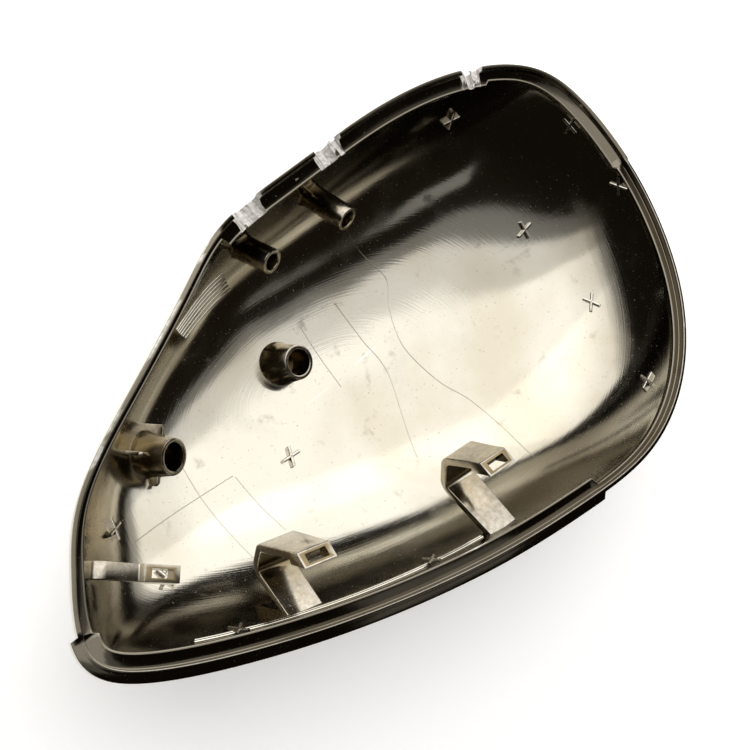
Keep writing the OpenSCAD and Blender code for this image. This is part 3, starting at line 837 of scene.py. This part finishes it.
seat, axis, height, _, _, bore, _ = STUDS["boss_end"]
axis, one, two = frame_on(axis)
for number in range(4):
    spoke = math.radians(GUSSET_TURN + 90 * number)
    way = one * math.cos(spoke) + two * math.sin(spoke)
    corners = []
    inner_r = bore / 2 + GUSSET_CLEAR
    for radius in (inner_r, GUSSET_R * 0.85, GUSSET_R):
        place, _, _, _ = wall_faces.ray_cast(Vector(seat) + axis * height + way * radius, -axis)
        corners.append(place - axis * GUSSET_SINK)
    top = Vector(seat) + axis * GUSSET_H
    corners += [Vector(seat) + axis * (GUSSET_H - GUSSET_EASE) + way * GUSSET_R,
                top + way * GUSSET_R * 0.9, top + way * inner_r]
    fitted(plate(f"gusset_{number + 1}", corners, way.cross(axis), RIB_T, RIB_EDGE), 30)

FIN_FROM = Vector((-0.0114, 0.0502, 0.0436))
FIN_TO = Vector((0.0039, 0.0501, 0.0228))
FIN_STEPS = 12
FIN_SINK = 0.0006
FIN_RISE = 0.0026
low_line = []
high_line = []
for k in range(FIN_STEPS + 1):
    share = k / FIN_STEPS
    place, normal, _, _ = wall_faces.find_nearest(FIN_FROM.lerp(FIN_TO, share))
    low_line.append(place - normal * FIN_SINK)
    high_line.append(place + normal * (FIN_SINK + FIN_RISE * share**1.5))
fin_way = (FIN_TO - FIN_FROM).cross(wall_faces.find_nearest(FIN_FROM.lerp(FIN_TO, 0.5))[1])
fitted(plate("fin", low_line + high_line[::-1], fin_way, RIB_T, RIB_EDGE), 30)


# Cross marks: small crossed ribs, eleven in all. They stand on the inner wall of the shell, moulded in one with
# it and plated with it.

# Station, level and turn of each.
CROSSES = [
    (1.66, 0.16, 10), (9.95, 0.55, 30), (8.28, 0.64, 60), (0.5, 0.54, 40), (19.79, 0.595, 20), (10.78, 0.9, 45),
    (12.67, 0.8, 15), (9.64, 0.9, 70), (6.96, 0.87, 30), (1.93, 0.86, 45), (3.68, 0.855, 40),
]
CROSS_SIZES = {"Length": 0.006, "Thickness": 0.001, "Height": 0.0014, "Crossing": math.radians(70)}


def cross_tree():
    """Places one cross at each point of a mesh, upright on the wall and turned by its own angle."""
    tree, value, result = group_of("GeometryNodeTree", "cross marks", {
        "Geometry": "Geometry", "Finish": "Material", **CROSS_SIZES}, "Geometry", "Geometry")
    half = wired(tree, "ShaderNodeCombineXYZ", {0: maths(tree, "DIVIDE", value["Length"], 2.0)})
    other = vector_maths(tree, "SCALE", half, -1.0)
    bar = wired(tree, "GeometryNodeCurvePrimitiveLine", {"Start": other, "End": half})
    section = wired(tree, "GeometryNodeCurvePrimitiveQuadrilateral", {
        "Width": value["Thickness"], "Height": maths(tree, "MULTIPLY", value["Height"], 2.0)})
    soft = wired(tree, "GeometryNodeFilletCurve", {
        "Curve": section, "Radius": maths(tree, "MULTIPLY", value["Thickness"], 0.3), "Count": 3}, mode="POLY")
    rib = wired(tree, "GeometryNodeCurveToMesh", {"Curve": bar, "Profile Curve": soft, "Fill Caps": True})
    crossing = wired(tree, "ShaderNodeCombineXYZ", {2: value["Crossing"]})
    turned = wired(tree, "GeometryNodeTransform", {"Geometry": rib, "Rotation": crossing})
    both = tree.nodes.new("GeometryNodeJoinGeometry")
    tree.links.new(rib, both.inputs[0])
    tree.links.new(turned, both.inputs[0])
    upright = wired(tree, "FunctionNodeAlignRotationToVector", {"Vector": stored(tree, "facing")}, axis="Z")
    spin = wired(tree, "FunctionNodeAxisAngleToRotation", {"Angle": stored(tree, "turn", "FLOAT")})
    placed = wired(tree, "FunctionNodeRotateRotation", {"Rotation": upright, "Rotate By": spin},
                   rotation_space="LOCAL")
    marks = wired(tree, "GeometryNodeInstanceOnPoints", {
        "Points": value["Geometry"], "Instance": both.outputs[0], "Rotation": placed})
    finish_tree(tree, marks, value["Finish"], result)
    return tree


def on_wall(places):
    """Points of the inner wall at stations and levels, by the shell's own rule."""
    strip = strip_of([(station, level, 1, None) for station, level in places], [], [])
    found = [v.co.copy() for v in strip.data.vertices]
    bpy.data.objects.remove(strip)
    return found


seats = on_wall([(station, level) for station, level, _ in CROSSES])
normals = [wall_faces.find_nearest(seat)[1] for seat in seats]
marks = bpy.data.meshes.new("marks")
marks.from_pydata(seats, [], [])
facing = marks.attributes.new("facing", "FLOAT_VECTOR", "POINT")
facing.data.foreach_set("vector", [c for normal in normals for c in normal])
own_turn = marks.attributes.new("turn", "FLOAT", "POINT")
own_turn.data.foreach_set("value", [math.radians(turn) for _, _, turn in CROSSES])
marks_base = bpy.data.objects.new("marks", marks)
scene.collection.objects.link(marks_base)
crosses = grown(marks_base, cross_tree(), dict(CROSS_SIZES, Finish=plating_with_painted_shade), "cross_marks")
bpy.data.objects.remove(marks_base)
fitted(crosses, 50)


# Fine ribs and mould lines: the rail along the lower wall, a patch of close ribs on the upper wall, and raised
# lines across the bowl. All are moulded in one with the shell and plated with it, round beads half sunk in it.
def bead_tree():
    """A bead of round section along each run of edges, with closed ends."""
    tree, value, result = group_of("GeometryNodeTree", "bead along the wall", {
        "Geometry": "Geometry", "Radius": 0.0003, "Spacing": 0.0008, "Finish": "Material"},
        "Geometry", "Geometry")
    curve = wired(tree, "GeometryNodeMeshToCurve", {"Mesh": value["Geometry"]})
    even = wired(tree, "GeometryNodeResampleCurve", {"Curve": curve, "Length": value["Spacing"]}, mode="LENGTH")
    section = wired(tree, "GeometryNodeCurvePrimitiveCircle", {"Resolution": 10, "Radius": value["Radius"]})
    bead = wired(tree, "GeometryNodeCurveToMesh", {"Curve": even, "Profile Curve": section, "Fill Caps": True})
    finish_tree(tree, bead, value["Finish"], result)
    return tree


beads = bead_tree()


def beaded(name, runs, radius):
    """Beads of one size along runs of points on the wall."""
    mesh = bpy.data.meshes.new(name)
    edges = []
    places = []
    for run in runs:
        edges += [(len(places) + k, len(places) + k + 1) for k in range(len(run) - 1)]
        places += run
    mesh.from_pydata(places, edges, [])
    base = bpy.data.objects.new(name, mesh)
    scene.collection.objects.link(base)
    piece = grown(base, beads, {"Radius": radius, "Finish": plating}, name)
    bpy.data.objects.remove(base)
    fitted(piece, 60)


def wall_below(x, y):
    """The point of the inner wall under a plan position."""
    return wall_faces.ray_cast(Vector((x, y, 0.1)), Vector((0, 0, -1)))[0]


def plan_run(plan, spacing=0.6):
    """A smooth run over plan points, dropped on the wall; the plan and the spacing are in millimetres."""
    plan = [plan[0]] + plan + [plan[-1]]
    run = []
    for a, b, c, d in zip(plan, plan[1:], plan[2:], plan[3:]):
        steps = max(2, int(math.dist(b, c) / spacing))
        for k in range(steps + (d == c)):
            t = k / steps
            x, y = (0.5 * (2 * b[i] + (c[i] - a[i]) * t + (2 * a[i] - 5 * b[i] + 4 * c[i] - d[i]) * t * t
                           + (3 * b[i] - a[i] - 3 * c[i] + d[i]) * t**3) for i in (0, 1))
            run.append(wall_below(x / 1000, y / 1000))
    return run


# The rail's first and last station and its level; the ribs' first and last station and first and last level.
RAIL = (1.5, 4.2, 0.845)
RAIL_LINES = (0, 0.012)
RAIL_R = 0.0005
RAIL_STEPS = 90
RIDGES = (15.8, 17.0, 0.5, 0.63)
RIDGE_ROWS = 6
RIDGE_R = 0.00035
RIDGE_STEPS = 30
LINE_R = 0.00012
MOULD_LINES = [
    [(-7, 18), (6.5, 20.5)], [(-6.5, 16.5), (-4, 6), (-1, -5)], [(7.5, 20), (12, 6.5), (16, -7.5), (12, -34)],
    [(17.5, 42.5), (20.5, 34), (24.5, 27.5), (28, 21.5), (25.5, 13.5), (24.5, 4), (26, -3.5), (32, -15),
     (39, -24), (44, -36.5), (45, -48)],
    [(-58.5, -9.5), (-57, -19.5), (-54, -32), (-52, -40.5)], [(-44.5, -18), (-41.5, -28.5), (-38.5, -37.5)],
    [(-81, -24), (-69, -21.5), (-57.5, -19.5), (-45, -17.5)],
]
first, last, level = RAIL
beaded("rail", [on_wall([(first + (last - first) * k / RAIL_STEPS, level + gap) for k in range(RAIL_STEPS + 1)])
                for gap in RAIL_LINES], RAIL_R)
first, last, low, high = RIDGES
beaded("close_ribs", [
    on_wall([(first + (last - first) * k / RIDGE_STEPS, low + (high - low) * row / (RIDGE_ROWS - 1))
             for k in range(RIDGE_STEPS + 1)])
    for row in range(RIDGE_ROWS)], RIDGE_R)
beaded("mould_lines", [plan_run(line) for line in MOULD_LINES], LINE_R)


# Studio: a plain pale table, and one broad soft lamp above and to one side, built up from panels of several
# strengths, in dark surroundings. The camera looks down into the open side, as the photograph does.
LAMP_HEIGHT = 1.0
# Each column of panels: from, to, and strength; each row likewise.
LAMP_COLUMNS = [(-1.5, -1.15, 0.25), (-1.15, -0.9, 0.7), (-0.9, 0.8, 1.0), (0.8, 2.2, 0.85), (2.2, 3.2, 0.3)]
LAMP_ROWS = [(-0.34, -0.2, 0.12), (-0.2, 0.0, 0.5), (0.0, 0.45, 0.82), (0.45, 3.4, 1.0)]
LAMP_RADIANCE = 2.0
LAMP_COLOUR = (1.0, 0.985, 0.95)
# A faint patch of light beside the lamp, seen as an olive glimmer in the deep wall.
LAMP_GLIMMER = (0.3, 0.8, -0.85, -0.6, 0.12)
# What the part mirrors beside the lamp and the table.
SURROUNDINGS = (0.012, 0.009, 0.006, 1)
world = bpy.data.worlds.new("studio")
scene.world = world
world.use_nodes = True
air = world.node_tree
near_dark = air.nodes["Background"]
near_dark.inputs[0].default_value = SURROUNDINGS
seen = wired(air, "ShaderNodeBackground", {0: (1, 1, 1, 1)})
from_camera = wired(air, "ShaderNodeLightPath", output="Is Camera Ray")
either = wired(air, "ShaderNodeMixShader", {0: from_camera, 1: near_dark.outputs[0], 2: seen})
attach(air, air.nodes["World Output"].inputs["Surface"], either)

panels = [(x0, x1, y0, y1, column * row) for x0, x1, column in LAMP_COLUMNS for y0, y1, row in LAMP_ROWS]
panels.append(LAMP_GLIMMER)
for x0, x1, y0, y1, strength in panels:
    panel = bpy.data.lights.new("softbox panel", "AREA")
    panel.shape = "RECTANGLE"
    panel.size = x1 - x0
    panel.size_y = y1 - y0
    panel.energy = LAMP_RADIANCE * strength * math.pi * (x1 - x0) * (y1 - y0)
    panel.color = LAMP_COLOUR
    holder = bpy.data.objects.new("softbox panel", panel)
    holder.location = ((x0 + x1) / 2, (y0 + y1) / 2, LAMP_HEIGHT)
    scene.collection.objects.link(holder)

# Half the table's side, its own glow near the part, and how far off that glow starts to rise and is full.
FLOOR = 4.0
FLOOR_GLOW = 0.45
FLOOR_FADE = (0.25, 1.3)
TABLE = (0.9, 0.9, 0.905, 1)
floor_mesh = bpy.data.meshes.new("floor")
floor_mesh.from_pydata([(x * FLOOR, y * FLOOR, 0) for x, y in CORNERS], [], [(0, 1, 2, 3)])
floor = bpy.data.objects.new("floor", floor_mesh)
scene.collection.objects.link(floor)
paper, tree, matt, place = material_of("pale table")
matt["Base Color"].default_value = TABLE
matt["Roughness"].default_value = 0.95
matt["Specular IOR Level"].default_value = 0.1
ray = wired(tree, "ShaderNodeLightPath", output=None)
away = ramp(tree, vector_maths(tree, "LENGTH", place), *FLOOR_FADE, FLOOR_GLOW, 1.0)
seen_glow = maths(tree, "MULTIPLY", ray["Is Camera Ray"], away)
mirrored_glow = maths(tree, "MULTIPLY_ADD", ray["Is Glossy Ray"], FLOOR_GLOW, seen_glow)
glow = wired(tree, "ShaderNodeEmission", {"Strength": mirrored_glow})
surface = tree.nodes["Principled BSDF"].outputs[0]
together = wired(tree, "ShaderNodeAddShader", {0: surface, 1: glow})
attach(tree, tree.nodes["Material Output"].inputs["Surface"], together)
floor_mesh.materials.append(paper)

scene.view_settings.view_transform = "Standard"
# How far the camera leans from straight down, from which side, and how far it is rolled. The picture, the focal
# length and the lens's middle are in pixels. The camera stands off the point it aims at.
TILT = math.radians(30)
TURN = math.radians(185.5)
ROLL = math.radians(27.6)
PICTURE = 750
FOCAL = 1200
LENS_MIDDLE = (379, 374)
AIM = Vector((0.000625, -0.006643, 0.024))
CAMERA_FAR = 0.348
back = Vector((math.sin(TILT) * math.cos(TURN), math.sin(TILT) * math.sin(TURN), math.cos(TILT)))
level_up = (Vector((0, 0, 1)) - back * back.z).normalized()
level_right = level_up.cross(back)
right = math.cos(ROLL) * level_up + math.sin(ROLL) * level_right
up = math.sin(ROLL) * level_up - math.cos(ROLL) * level_right
lens = bpy.data.cameras.new("camera")
lens.sensor_width = 36
lens.lens = FOCAL / PICTURE * lens.sensor_width
lens.shift_x = (PICTURE / 2 - LENS_MIDDLE[0]) / PICTURE
lens.shift_y = (LENS_MIDDLE[1] - PICTURE / 2) / PICTURE
camera = bpy.data.objects.new("camera", lens)
camera.matrix_world = Matrix((right, up, back)).transposed().to_4x4()
camera.location = AIM + back * CAMERA_FAR
scene.collection.objects.link(camera)
scene.camera = camera
